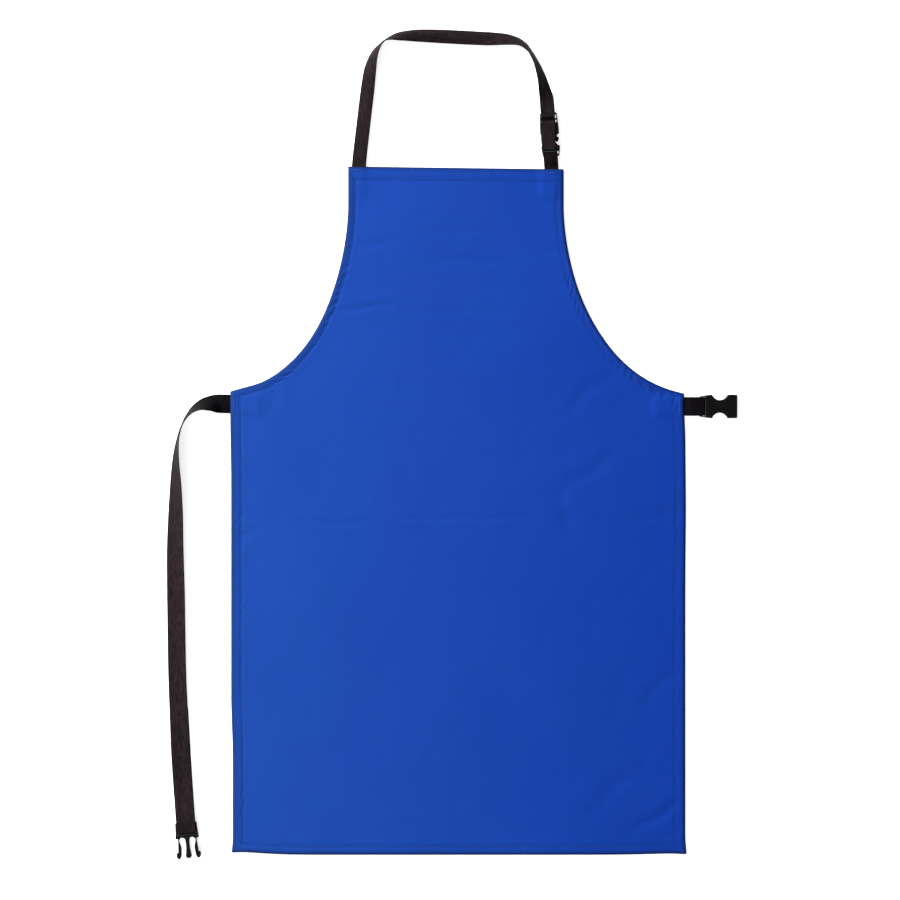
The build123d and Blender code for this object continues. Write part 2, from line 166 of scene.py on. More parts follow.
def mesh_object(name, vertices_mm, faces):
    """A smooth mesh object from points in millimetres."""
    mesh = bpy.data.meshes.new(name)
    points = np.asarray(vertices_mm, float) * MM
    mesh.from_pydata(points.tolist(), [], [tuple(int(i) for i in face) for face in faces])
    mesh.update()
    mesh.shade_smooth()
    piece = bpy.data.objects.new(name, mesh)
    bpy.context.scene.collection.objects.link(piece)
    return piece


def set_values(piece, name, values):
    """A named value for each point of a piece, or a vector where the values come in threes."""
    kind, field = ("FLOAT_VECTOR", "vector") if values.ndim == 2 else ("FLOAT", "value")
    attribute = piece.data.attributes.new(name, kind, "POINT")
    attribute.data.foreach_set(field, values.astype(np.float32).ravel())


def ring_faces(rings, count):
    """Quads between successive closed rings of count points each."""
    faces = []
    for ring in range(rings - 1):
        low, high = ring * count, (ring + 1) * count
        for step in range(count):
            after = (step + 1) % count
            faces.append((low + step, low + after, high + after, high + step))
    return faces


# ---- the cloth panel -----------------------------------------------------------------------------

def bezier(controls, count):
    """Points along a cubic curve."""
    share = np.linspace(0, 1, count)[:, None]
    a, b, c, d = (np.array(point, float) for point in controls)
    rest = 1 - share
    return rest ** 3 * a + 3 * rest ** 2 * share * b + 3 * rest * share ** 2 * c + share ** 3 * d


def evenly(points, step):
    """The polyline again, with equal steps of about step."""
    travelled = along_line(points)
    count = max(2, round(travelled[-1] / step) + 1)
    places = np.linspace(0, travelled[-1], count)
    return np.column_stack([np.interp(places, travelled, column) for column in points.T])


def outline_edges():
    """The outline's edges from the bottom left corner, counter-clockwise: kind and points of each."""
    armhole = np.vstack([bezier(ARMHOLE_CONTROLS, 200), [(BIB_HALF, BIB_TOP)]])
    mirrored = armhole[::-1] * [-1, 1]
    corner = (SKIRT_HALF, SKIRT_BOTTOM)
    waist = (SKIRT_HALF, WAIST_CORNER)
    return [
        ("bottom", np.array([(-corner[0], corner[1]), corner], float)),
        ("side", np.array([corner, waist], float)),
        ("armhole", armhole),
        ("top", np.array([(BIB_HALF, BIB_TOP), (-BIB_HALF, BIB_TOP)], float)),
        ("armhole", mirrored),
        ("side", np.array([(-waist[0], waist[1]), (-corner[0], corner[1])], float)),
    ]


def turned_left(vector):
    """Vectors in the plane, each turned a quarter to the left."""
    return np.stack([-vector[..., 1], vector[..., 0]], axis=-1)


class Perimeter:
    """The outline as one closed row of points, with the way inward at each."""

    def __init__(self):
        edges = [(kind, evenly(points, PERIMETER_STEP)) for kind, points in outline_edges()]
        ways = []
        for _, points in edges:
            way = np.gradient(points, axis=0)
            ways.append(way / np.linalg.norm(way, axis=1)[:, None])
        self.place, self.way, self.kinds, self.share, self.edge = [], [], [], [], []
        for index, ((kind, points), way) in enumerate(zip(edges, ways)):
            count = len(points) - 1
            self.place.append(points[:-1])
            self.way.append(way[:-1])
            self.kinds += [kind] * count
            self.share.append(np.arange(count) / count)
            self.edge += [index] * count
        self.place, self.way = np.vstack(self.place), np.vstack(self.way)
        self.share, self.edge = np.concatenate(self.share), np.array(self.edge)
        self.corners = []
        for i in range(len(edges)):
            self.corners.append((ways[i - 1][-1], ways[i][0], edges[i - 1][0], edges[i][0]))
        self.travelled = along_line(self.place)
        self.inset = self.each(STITCH_INSET)
        self.pucker = self.each(PUCKER) * (1 - 0.85 * smoothstep(self.place[:, 1], 140, 225))
        self.groove = self.each(GROOVE)
        # painted shade: how dark the hem is painted, and how wide the painted shade along the edge runs,
        # wider on the left
        self.shade = self.each(HEM_SHADE)
        self.band = EDGE_BAND - BAND_SWING * self.way[:, 1]

    def each(self, table):
        """The table's value for the kind of edge at each point."""
        return np.array([table[kind] for kind in self.kinds])

    def inward(self, table):
        """How each point moves when every edge moves inward by its own amount in the table."""
        ends = []
        for before, after, kind_before, kind_after in self.corners:
            normals = np.array([turned_left(before), turned_left(after)])
            ends.append(np.linalg.solve(normals, [table[kind_before], table[kind_after]]))
        at_start = np.array([ends[i] @ self.corners[i][1] for i in range(len(ends))])
        after = [(i + 1) % len(ends) for i in range(len(ends))]
        at_end = np.array([ends[i] @ self.corners[i][0] for i in after])
        slide = at_start[self.edge] * (1 - self.share) + at_end[self.edge] * self.share
        move = turned_left(self.way) * self.each(table)[:, None] + self.way * slide[:, None]
        starts = np.flatnonzero(self.share == 0)
        for index, start in enumerate(starts):
            move[start] = ends[index]
        return move


def waves(x, y, seed, count, shortest, longest, size):
    """A gentle sum of plane waves in seeded directions."""
    random = np.random.default_rng(seed)
    total = np.zeros_like(x)
    for _ in range(count):
        wavelength = random.uniform(shortest, longest)
        heading, phase = random.uniform(0, math.tau, 2)
        run = x * math.cos(heading) + y * math.sin(heading)
        total += wavelength / longest * np.sin(math.tau * run / wavelength + phase)
    return size * total / math.sqrt(count)


def crease(x, y, start, end, depth, width):
    """A valley from start to end with a low ridge beside it, fading at both ends."""
    run = np.array(end, float) - start
    length = np.linalg.norm(run)
    along = ((x - start[0]) * run[0] + (y - start[1]) * run[1]) / length
    wander = 0.35 * width * np.sin(along / 11 + start[0])
    off = ((x - start[0]) * run[1] - (y - start[1]) * run[0]) / length + wander
    fade = smoothstep(along, -2 * width, 3 * width) * smoothstep(length - along, -2 * width, 3 * width)
    valley = np.exp(-((off / width) ** 2))
    ridge = 0.4 * np.exp(-(((np.abs(off) - 1.9 * width) / (1.4 * width)) ** 2))
    return depth * fade * (ridge - valley)


def strap_bump(x, y, low, high, height):
    """The cloth raised over a strap end that lies inside the hem, between two corners."""
    soft = 6.5    # half the width over which the cloth rises
    inside = smoothstep(x, low[0] - soft, low[0] + soft) * smoothstep(-x, -high[0] - soft, -high[0] + soft)
    inside *= smoothstep(y, low[1] - soft, low[1] + soft) * smoothstep(-y, -high[1] - soft, -high[1] + soft)
    return height * inside


def field_height(x, y):
    """Height of the cloth's face away from its edges."""
    height = PANEL_THICK + waves(x, y, 5, 14, 70, 260, 0.45) + waves(x, y, 9, 16, 24, 60, 0.10)
    for line in CREASES:
        height += crease(x, y, *line)
    for bump in STRAP_BUMPS:
        height += strap_bump(x, y, *bump)
    return height


def hem_height(distance, stitch, travelled, pucker, depth):
    """What the hem adds: a low crown, the stitches' groove, and slanting puckers where the fold pulls."""
    off = distance - stitch
    crown = HEM_CROWN * np.where(off < 0, np.sin(np.pi * np.clip(distance / stitch, 0, 1)) ** 0.7, 0)
    quilt = 0.12 * np.exp(-(((off - 5.0) / 3.0) ** 2))
    tension = 0.6 + 0.4 * np.sin(travelled / 11 + 2 * np.sin(travelled / 37))
    groove = -depth * tension * np.exp(-((off / GROOVE_WIDTH) ** 2))
    drift = 1.7 * np.sin(travelled / 23) + 1.1 * np.sin(travelled / 9.1 + 2)
    ridges = np.sin((travelled + 1.6 * off) / 2.4 + drift)
    ridges = ridges + 0.6 * np.sin((travelled + 0.7 * off) / 1.35 - 1.4 * drift)
    swell = 0.55 + 0.45 * np.sin(travelled / 31 + 1.3 * np.sin(travelled / 57))
    spread = np.where(off < 0, 6.5, 4.5)
    return crown + quilt + groove + pucker * swell * ridges * np.exp(-((off / spread) ** 2))


def near(x, y, spot, reach):
    """1 at a spot, fading to 0 some reach away."""
    return np.exp(-((x - spot[0]) ** 2 + (y - spot[1]) ** 2) / reach ** 2)


def laid_out(x, y):
    """The panel as it lies: bib leaning left with that side higher, bottom sagging, corners drawn out."""
    top, bottom = smoothstep(y, 120, BIB_TOP), smoothstep(-y, 520, -SKIRT_BOTTOM)
    to_left, to_right = smoothstep(-x, -200, SKIRT_HALF), smoothstep(x, -200, SKIRT_HALF)
    left_sway = 1.2 * smoothstep(-y, 20, 120) + 2.2 * smoothstep(-y, 400, 490)
    right_sway = 1.7 * smoothstep(-y, 0, 70) + 0.8 * near(0, y, (0, -150), 70)
    drop = 2.3 - 3.8 * near(x, 0, (-SKIRT_HALF, 0), 50) - 1.9 * near(x, 0, (SKIRT_HALF, 0), 60)
    x, y = (
        x - 1.6 * smoothstep(y, 60, 150) + left_sway * to_left + right_sway * to_right,
        y - 1.9 * x / BIB_HALF * top - drop * bottom + 3.3 * near(x, y, (-288, 0), 26),
    )
    for corner_x, corner_y in ((-SKIRT_HALF, SKIRT_BOTTOM), (SKIRT_HALF, SKIRT_BOTTOM)):
        pull = 1.6 * near(x, y, (corner_x, corner_y), 12)
        x, y = x + pull * math.copysign(1, corner_x), y - 0.6 * pull
    return x, y


def rounded(distance, radius):
    """Share of the full height at a distance from a rounded edge."""
    return np.sqrt(np.clip(1 - (1 - np.clip(distance / radius, 0, 1)) ** 2, 0, 1))


def cloth_top(rim, share):
    """One ring of the face, at a share of the way to the stitches (1) and past them (2)."""
    spot = rim.place + rim.inward(STITCH_INSET) * share
    distance = rim.inset * share
    height = field_height(spot[:, 0], spot[:, 1]) + hem_height(
        distance, rim.inset, rim.travelled, rim.pucker, rim.groove)
    middle = PANEL_THICK / 2
    height = middle + (height - middle) * rounded(distance, EDGE_ROUND)
    return np.column_stack([*laid_out(spot[:, 0], spot[:, 1]), height])


def cloth_under(rim, distance, height):
    """One ring of the turned-under hem, at a distance from the edge."""
    one = dict.fromkeys(STITCH_INSET, 1.0)
    spot = rim.place + rim.inward(one) * distance
    return np.column_stack([*laid_out(spot[:, 0], spot[:, 1]), np.full(len(spot), float(height))])


def field_triangles(loop, step):
    """A loop of points filled with a staggered grid: the points added, and all the triangles."""
    low, high = loop.min(axis=0), loop.max(axis=0)
    rows = np.arange(low[1] + step, high[1], step * 0.87)
    grid = []
    for index, level in enumerate(rows):
        places = np.arange(low[0] + (index % 2) * step / 2, high[0], step)
        grid.append(np.column_stack([places, np.full(len(places), level)]))
    grid = np.vstack(grid)
    inside = np.zeros(len(grid), bool)
    ends = np.roll(loop, -1, axis=0)
    gap = np.full(len(grid), np.inf)
    for start, end in zip(loop, ends):
        gap = np.minimum(gap, (grid[:, 0] - start[0]) ** 2 + (grid[:, 1] - start[1]) ** 2)
        if start[1] != end[1]:
            spans = (start[1] > grid[:, 1]) != (end[1] > grid[:, 1])
            crossing = start[0] + (grid[:, 1] - start[1]) * (end[0] - start[0]) / (end[1] - start[1])
            inside ^= spans & (grid[:, 0] < crossing)
    grid = grid[inside & (gap > (0.6 * step) ** 2)]
    points = [Vector(point) for point in np.vstack([loop, grid]).tolist()]
    rim = [(i, (i + 1) % len(loop)) for i in range(len(loop))]
    _, _, faces, *_ = geometry.delaunay_2d_cdt(points, rim, [list(range(len(loop)))], 1, 1e-6)
    return grid, [tuple(face) for face in faces]


def painted_edge_shade(distance, rim):
    """Painted shade on the cloth at a distance from its edge: at the edge, in the hem and at the stitches."""
    edge = np.exp(-((distance / rim.band) ** 2))
    sewn = 0.14 * np.exp(-(((distance - rim.inset) / 2.2) ** 2))
    # the hem's painted shade comes in blotches along its length
    blotches = 0.7 + 0.4 * np.sin(rim.travelled / 13 + 2 * np.sin(rim.travelled / 34))
    return np.maximum(edge, sewn + rim.shade * blotches * (distance < rim.inset))


def make_cloth(rim):
    """The front cloth: face, rounded edge and the hem turned under, as one surface.

    Its rings run from inside the stitches out to the edge, and on round to the hem's own end under the panel.
    """
    shares = [2.0, 1.8, 1.62, 1.46, 1.34, 1.24, 1.16, 1.1, 1.05, 1.0, 0.95, 0.9, 0.84, 0.76, 0.66, 0.55, 0.44,
              0.34, 0.26, 0.19, 0.13, 0.08, 0.045, 0.02, 0.005, 0.0]
    rings = [cloth_top(rim, share) for share in shares]
    for distance in (0.02, 0.12, 0.35, 0.7, 1.2, 2.0):
        rings.append(cloth_under(rim, distance, PANEL_THICK / 2 * (1 - rounded(distance, UNDER_ROUND))))
    turned_under = ((12, 0.0), (7, 0.0), (3, 0.0), (0.8, 0.02), (0.2, 0.2),
                    (0.0, 0.5), (0.2, 0.8), (1.0, 0.95), (4.0, 1.0))
    for short, height in turned_under:
        rings.append(cloth_under(rim, HEM_DEPTH - short, height))
    count = len(rim.place)
    loop = rim.place + rim.inward(STITCH_INSET) * shares[0]
    grid, triangles = field_triangles(loop, FIELD_STEP)
    heights = field_height(grid[:, 0], grid[:, 1])
    inner = np.column_stack([*laid_out(grid[:, 0], grid[:, 1]), heights])
    first = len(rings) * count
    faces = [tuple(reversed(face)) for face in ring_faces(len(rings), count)]
    faces += [tuple(i if i < count else i - count + first for i in face) for face in triangles]
    cloth = mesh_object("apron_cloth", np.vstack([*rings, inner]), faces)
    # painted shade per ring: the face by its distance from the edge, the turned-under hem fully, the middle
    # of the face none
    insets = [rim.inset * share for share in shares]
    painted_edge_shades = [painted_edge_shade(distance, rim) for distance in insets]
    painted_edge_shades += [np.ones(count)] * (len(rings) - len(painted_edge_shades)) + [np.zeros(len(inner))]
    set_values(cloth, "fold", np.concatenate(painted_edge_shades))
    return cloth


def make_lining(rim):
    """The back cloth, tucked in between the hem and the felt."""
    edge = ((LINING_INSET, 1.35), (16.0, 1.3), (18.6, 1.1), (21.0, 0.5), (25.0, 0.15))
    rings = [cloth_under(rim, distance, height) for distance, height in edge]
    last_distance, low = edge[-1]
    loop = rim.place + rim.inward(dict.fromkeys(STITCH_INSET, last_distance))
    grid, triangles = field_triangles(loop, 4 * FIELD_STEP)
    inner = np.column_stack([*laid_out(grid[:, 0], grid[:, 1]), np.full(len(grid), low)])
    count = len(loop)
    first = len(rings) * count
    faces = ring_faces(len(rings), count)
    shift = (len(rings) - 1) * count
    for face in triangles:
        faces.append(tuple(i + shift if i < count else i - count + first for i in reversed(face)))
    return mesh_object("back_lining_cloth", np.vstack([*rings, inner]), faces)


def thread_pieces(name, starts, ends, radius, sag=0.0):
    """Short raised threads between pairs of points, as one mesh."""
    starts, ends = np.asarray(starts, float), np.asarray(ends, float)
    sides, profile = 6, [(-0.5, 0.25), (-0.42, 0.8), (-0.2, 1.0), (0.2, 1.0), (0.42, 0.8), (0.5, 0.25)]
    way = ends - starts
    length = np.linalg.norm(way, axis=1)[:, None]
    way = way / length
    side = np.cross(way, [0, 0, 1.0])
    side /= np.linalg.norm(side, axis=1)[:, None]
    up = np.cross(side, way)
    middle = (starts + ends) / 2
    rings = []
    for share, thick in profile:
        centre = middle + way * length * share - up * sag * (2 * share) ** 2
        for index in range(sides):
            angle = math.tau * index / sides
            rings.append(centre + radius * thick * (side * math.cos(angle) + up * math.sin(angle)))
    points = np.stack(rings, axis=1).reshape(-1, 3)
    size = len(profile) * sides
    one = ring_faces(len(profile), sides)
    one += [tuple(reversed(range(sides))), tuple(range(size - sides, size))]
    faces = [tuple(i + size * k for i in face) for k in range(len(starts)) for face in one]
    return mesh_object(name, points, faces)


def make_hem_stitches(rim):
    """The row of stitches all round, lying in its groove."""
    row = cloth_top(rim, 1.0)
    row = evenly(np.vstack([row, row[:1]]), 0.5)
    travelled = along_line(row)
    pitch = travelled[-1] / round(travelled[-1] / STITCH_PITCH)
    places = np.arange(0, travelled[-1] - 1, pitch)

    def at(where):
        return np.column_stack([np.interp(where, travelled, column) for column in row.T])

    lift = [0, 0, 0.22]
    starts, ends = at(places + 0.25) + lift, at(places + pitch - 0.35) + lift
    return thread_pieces("hem_stitches", starts, ends, 0.34, 0.18)


def make_bar_tack(name, x, y, along_x, width):
    """Dense short stitches across a strap end, on the cloth over it."""
    half, count = 1.3, round(width / TACK_PITCH)
    across = np.linspace(-width / 2 + 0.5, width / 2 - 0.5, count)
    zigzag = np.where(np.arange(count) % 2, 0.25, -0.25)
    if along_x:
        starts = np.column_stack([np.full(count, x - half), y + across - zigzag])
        ends = np.column_stack([np.full(count, x + half), y + across + zigzag])
    else:
        starts = np.column_stack([x + across - zigzag, np.full(count, y - half)])
        ends = np.column_stack([x + across + zigzag, np.full(count, y + half)])

    def raised(spots):
        lain = np.column_stack(laid_out(spots[:, 0], spots[:, 1]))
        return np.column_stack([lain, field_height(spots[:, 0], spots[:, 1]) + HEM_CROWN + 0.1])

    return thread_pieces(name, raised(starts), raised(ends), 0.33, 0.25)


# ---- webbing -------------------------------------------------------------------------------------

def spline_points(controls_mm):
    """Points read from the smooth curve with these control points, in millimetres."""
    curve = bpy.data.curves.new("route", "CURVE")
    curve.dimensions = "3D"
    curve.resolution_u = 24
    spline = curve.splines.new("NURBS")
    spline.points.add(len(controls_mm) - 1)
    for point, place in zip(spline.points, controls_mm):
        point.co = (*(value * MM for value in place[:3]), 1)
    spline.order_u = 3
    spline.use_endpoint_u = True
    holder = bpy.data.objects.new("route", curve)
    bpy.context.scene.collection.objects.link(holder)
    bpy.context.view_layer.update()
    line = bpy.data.meshes.new_from_object(holder)
    points = np.array([vertex.co for vertex in line.vertices]) / MM
    bpy.data.objects.remove(holder)
    bpy.data.curves.remove(curve)
    bpy.data.meshes.remove(line)
    return points


def route_rolls(route, shares):
    """The roll in degrees at shares of a route's length."""
    travelled = along_line(np.array([place[:3] for place in route]))
    return np.interp(shares, travelled / travelled[-1], [place[3] for place in route])


def laid_frames(route, inner_side):
    """Centre line of a laid strap and the way across it at each point."""
    line = evenly(spline_points(route), STRAP_STEP)
    way = np.gradient(line, axis=0)
    way /= np.linalg.norm(way, axis=1)[:, None]
    level = np.cross(way, [0, 0, 1.0]) * inner_side
    level /= np.linalg.norm(level, axis=1)[:, None]
    up = np.cross(level, way)
    up *= np.sign(up[:, 2])[:, None]
    roll = np.radians(route_rolls(route, np.linspace(0, 1, len(line))))[:, None]
    return line, level * np.cos(roll) + up * np.sin(roll)


def ribbon(name, line, across, width, cup=0.0, painted_shade=0.0):
    """Woven webbing along a line, curled across by cup millimetres.

    The last value says how much painted shade darkens it: 1 is black, 0 is its plain mottled colour, and
    below 0 is paler still.
    """
    way = np.gradient(line, axis=0)
    way /= np.linalg.norm(way, axis=1)[:, None]
    face = np.cross(way, across)
    face /= np.linalg.norm(face, axis=1)[:, None]
    # Across the width: columns bunched at the edges, a rounded edge, a raised selvedge and a checked weave
    columns = max(13, 2 * round(width / 2.2) + 1)
    bunching = 0.93 * math.pi / 2
    spread = np.sin(np.linspace(-1, 1, columns) * bunching) / math.sin(bunching)
    body = WEB / 2 * np.clip(1 - np.abs(spread) ** 14, 0.30, 1) ** 0.5
    selvedge = 0.06 * np.exp(-(((np.abs(spread) - 0.9) / 0.05) ** 2))
    cups = np.broadcast_to(cup, len(line))
    row, column = np.arange(len(line))[:, None], np.arange(columns)[None, :]
    weave = 0.055 * np.where((row + column) % 2, 1, -1) * (np.abs(spread) < 0.92)[None, :]
    curl = cups[:, None] * (spread[None, :] ** 2 - 0.4)
    upper = curl + body + selvedge + weave
    lower = curl - body - selvedge + weave
    heights = np.concatenate([upper, lower[:, ::-1]], axis=1)
    sides = np.concatenate([spread, spread[::-1]]) * width / 2
    points = line[:, None] + across[:, None] * sides[None, :, None] + face[:, None] * heights[:, :, None]
    under_floor = np.minimum(points[:, :, 2].min(axis=1) - 0.05, 0)
    points[:, :, 2] -= under_floor[:, None]
    count = 2 * columns
    faces = ring_faces(len(line), count)
    faces += [tuple(reversed(range(count))), tuple(range((len(line) - 1) * count, len(line) * count))]
    piece = mesh_object(name, points.reshape(-1, 3), faces)
    travelled = np.broadcast_to(along_line(line)[:, None], heights.shape)
    places = np.stack([travelled, np.broadcast_to(sides, heights.shape), heights], axis=-1)
    set_values(piece, "weave", places.reshape(-1, 3))
    set_values(piece, "painted_shade", np.repeat(np.broadcast_to(painted_shade, len(line)).astype(float), count))
    return piece


def buckle_frame(buckle, points):
    """Points of (along, across, up) in a buckle's frame, in the row frame."""
    x, y, angle, _ = buckle
    cos, sin = math.cos(math.radians(angle)), math.sin(math.radians(angle))
    along, side, up = np.asarray(points, float).T
    return np.column_stack([x + along * cos - side * sin, y + along * sin + side * cos, up])


def folded_ribbon(name, buckle, profile, side, width, cup=0.0, drift=lambda along: 0.0, painted_shade=0.0):
    """Webbing folded in a buckle's own upright plane. profile: (along, up). drift: sideways, by along."""
    line = evenly(spline_points([(along, side + drift(along), up) for along, up in profile]), STRAP_STEP)
    turn = math.radians(buckle[2])
    across = np.tile([-math.sin(turn), math.cos(turn), 0.0], (len(line), 1))
    return ribbon(name, buckle_frame(buckle, line), across, width, cup, painted_shade)


# ---- materials -----------------------------------------------------------------------------------

def new_material(name):
    """An empty material: its node tree's nodes, links and principled shader."""
    material = bpy.data.materials.new(name)
    material.use_nodes = True
    nodes, links = material.node_tree.nodes, material.node_tree.links
    return material, nodes, links, nodes["Principled BSDF"]


def add(nodes, kind, **values):
    """A node with attributes, or inputs where the name starts with in_."""
    node = nodes.new(kind)
    for name, value in values.items():
        if name.startswith("in_"):
            node.inputs[name[3:].replace("_", " ")].default_value = value
        else:
            setattr(node, name, value)
    return node


def wave(nodes, links, source, heading, scale, distortion):
    """Parallel bands across one direction of the coordinates."""
    node = add(nodes, "ShaderNodeTexWave", bands_direction=heading, in_Scale=scale, in_Distortion=distortion)
    links.new(source, node.inputs["Vector"])
    return node.outputs["Fac"]


def noise(nodes, links, source, scale, detail, roughness=0.5):
    """Random mottling over the coordinates, from 0 to 1."""
    node = add(nodes, "ShaderNodeTexNoise", in_Scale=scale, in_Detail=detail, in_Roughness=roughness)
    links.new(source, node.inputs["Vector"])
    return node.outputs["Fac"]


def spread_over(nodes, links, value, low, high, first=0.0, last=1.0):
    """The value moved from the range first to last into the range low to high."""
    node = add(nodes, "ShaderNodeMapRange",
               in_From_Min=first, in_From_Max=last, in_To_Min=low, in_To_Max=high)
    links.new(value, node.inputs["Value"])
    return node.outputs["Result"]


def math_node(nodes, links, operation, first, second):
    """A sum, product or other operation on two values, each a socket or a number."""
    node = add(nodes, "ShaderNodeMath", operation=operation)
    for socket, value in zip(node.inputs, (first, second)):
        if isinstance(value, (int, float)):
            socket.default_value = value
        else:
            links.new(value, socket)
    return node.outputs[0]


def plus_share(nodes, links, base, extra, share):
    """A value with a share of another added to it."""
    return math_node(nodes, links, "ADD", base, math_node(nodes, links, "MULTIPLY", extra, share))


def mixed_colour(nodes, links, share, first, second):
    """A colour between two, by a share from a socket."""
    node = add(nodes, "ShaderNodeMix", data_type="RGBA")
    links.new(share, node.inputs["Factor"])
    node.inputs[6].default_value = first
    node.inputs[7].default_value = second
    return node.outputs[2]


def add_relief(nodes, links, shader, relief, strength, distance):
    """Shaded relief from a value, finer than the mesh holds."""
    bump = add(nodes, "ShaderNodeBump", in_Strength=strength, in_Distance=distance)
    links.new(relief, bump.inputs["Height"])
    links.new(bump.outputs["Normal"], shader.inputs["Normal"])


def set_gloss(shader, roughness, specular):
    """How rough a surface is, and how strongly it mirrors light."""
    shader.inputs["Roughness"].default_value = roughness
    shader.inputs["Specular IOR Level"].default_value = specular


def plain_weave(nodes, links, source, scale):
    """The relief of crossing threads."""
    warp = wave(nodes, links, source, "X", scale, 0.4)
    weft = wave(nodes, links, source, "Y", scale, 0.4)
    return math_node(nodes, links, "MAXIMUM", warp, weft)


def shaded_edge(nodes, links, colour):
    """The colour with painted shade, as strong as the fold attribute says: where the cloth turns over and
    where it meets a stitch.
    """
    fold = add(nodes, "ShaderNodeAttribute", attribute_name="fold").outputs["Fac"]
    shade = add(nodes, "ShaderNodeMix", data_type="RGBA", blend_type="MULTIPLY")
    links.new(math_node(nodes, links, "MULTIPLY", fold, 0.92), shade.inputs["Factor"])
    links.new(colour, shade.inputs[6])
    # the colour of the painted shade
    shade.inputs[7].default_value = (0.50, 0.40, 0.30, 1)
    return shade.outputs[2]


def cloth_material(name, main, deep, weave_scale):
    """Plain-woven polyester-cotton with slubs, and painted light that makes it paler toward the left."""
    material, nodes, links, shader = new_material(name)
    place = add(nodes, "ShaderNodeTexCoord").outputs["Object"]
    blotch = noise(nodes, links, place, 6.0, 4.0, 0.6)
    slub = noise(nodes, links, place, 900.0, 2.0)
    weave = plain_weave(nodes, links, place, weave_scale)
    split = add(nodes, "ShaderNodeSeparateXYZ")
    links.new(place, split.inputs[0])
    # painted light: toward the left the mix leans to the main colour, on the side of the key light
    painted_left_light = spread_over(nodes, links, split.outputs["X"], 0.56, -0.10, first=-0.3, last=0.3)
    tone = plus_share(nodes, links, painted_left_light, weave, 0.14)
    tone = plus_share(nodes, links, tone, blotch, 0.30)
    tone = plus_share(nodes, links, tone, slub, 0.14)
    cloth = mixed_colour(nodes, links, tone, deep, main)
    links.new(shaded_edge(nodes, links, cloth), shader.inputs["Base Color"])
    relief = plus_share(nodes, links, weave, slub, 0.8)
    add_relief(nodes, links, shader, relief, 0.35, 0.0002)
    set_gloss(shader, 0.72, 0.07)
    shader.inputs["Sheen Weight"].default_value = 0.03
    shader.inputs["Sheen Roughness"].default_value = 0.45
    return material


def webbing_material(name, dark, light):
    """Woven polypropylene webbing: chevrons along its length over a fine rib."""
    material, nodes, links, shader = new_material(name)
    place = add(nodes, "ShaderNodeAttribute", attribute_name="weave").outputs["Vector"]
    split = add(nodes, "ShaderNodeSeparateXYZ")
    links.new(place, split.inputs[0])
    side = math_node(nodes, links, "ABSOLUTE", split.outputs["Y"], 0.0)
    slant = math_node(nodes, links, "ADD", split.outputs["X"], side)
    slant = math_node(nodes, links, "MULTIPLY", slant, math.tau / 1.9)
    chevron = math_node(nodes, links, "SINE", slant, 0.0)
    across = math_node(nodes, links, "MULTIPLY", split.outputs["Y"], math.tau / 0.75)
    rib = math_node(nodes, links, "SINE", across, 0.0)
    weave = plus_share(nodes, links, chevron, rib, 0.5)
    grain = noise(nodes, links, place, 1.6, 4.0, 0.7)
    stretch = add(nodes, "ShaderNodeVectorMath", operation="MULTIPLY")
    stretch.inputs[1].default_value = (0.10, 0.42, 0.42)
    links.new(place, stretch.inputs[0])
    streak = noise(nodes, links, stretch.outputs[0], 1.0, 3.0, 0.6)
    mottle = spread_over(nodes, links, streak, 0.0, 0.75, first=0.3, last=0.7)
    tone = plus_share(nodes, links, mottle, weave, 0.14)
    tone = plus_share(nodes, links, tone, grain, 0.25)
    # painted shade from the attribute pulls the colour to the dark end, and below 0 toward the light end
    painted_shade = add(nodes, "ShaderNodeAttribute", attribute_name="painted_shade").outputs["Fac"]
    unshaded = math_node(nodes, links, "SUBTRACT", 1.0, painted_shade)
    tone = math_node(nodes, links, "MULTIPLY", tone, unshaded)
    links.new(mixed_colour(nodes, links, tone, dark, light), shader.inputs["Base Color"])
    add_relief(nodes, links, shader, math_node(nodes, links, "ADD", weave, grain), 0.6, 0.00025)
    set_gloss(shader, 0.6, 0.05)
    return material


def thread_material(name, colour):
    """Twisted sewing thread."""
    material, nodes, links, shader = new_material(name)
    place = add(nodes, "ShaderNodeTexCoord").outputs["Object"]
    twist = noise(nodes, links, place, 2500.0, 2.0)
    darker = tuple(0.7 * value for value in colour[:3]) + (1.0,)
    links.new(mixed_colour(nodes, links, twist, darker, colour), shader.inputs["Base Color"])
    add_relief(nodes, links, shader, twist, 0.4, 0.0001)
    set_gloss(shader, 0.7, 0.15)
    return material


def plastic_material(name, colour):
    """Moulded acetal: satin, faintly grained, with rubbed spots."""
    material, nodes, links, shader = new_material(name)
    place = add(nodes, "ShaderNodeTexCoord").outputs["Object"]
    grain = noise(nodes, links, place, 1800.0, 3.0)
    rubbed = noise(nodes, links, place, 60.0, 5.0, 0.7)
    lighter = tuple(1.9 * value for value in colour[:3]) + (1.0,)
    links.new(mixed_colour(nodes, links, rubbed, colour, lighter), shader.inputs["Base Color"])
    add_relief(nodes, links, shader, grain, 0.25, 0.00005)
    set_gloss(shader, 0.4, 0.2)
    links.new(spread_over(nodes, links, rubbed, 0.30, 0.48), shader.inputs["Roughness"])
    return material


def paint(piece, material):
    """Give a piece this one material."""
    piece.data.materials.clear()
    piece.data.materials.append(material)


# ---- stage ---------------------------------------------------------------------------------------

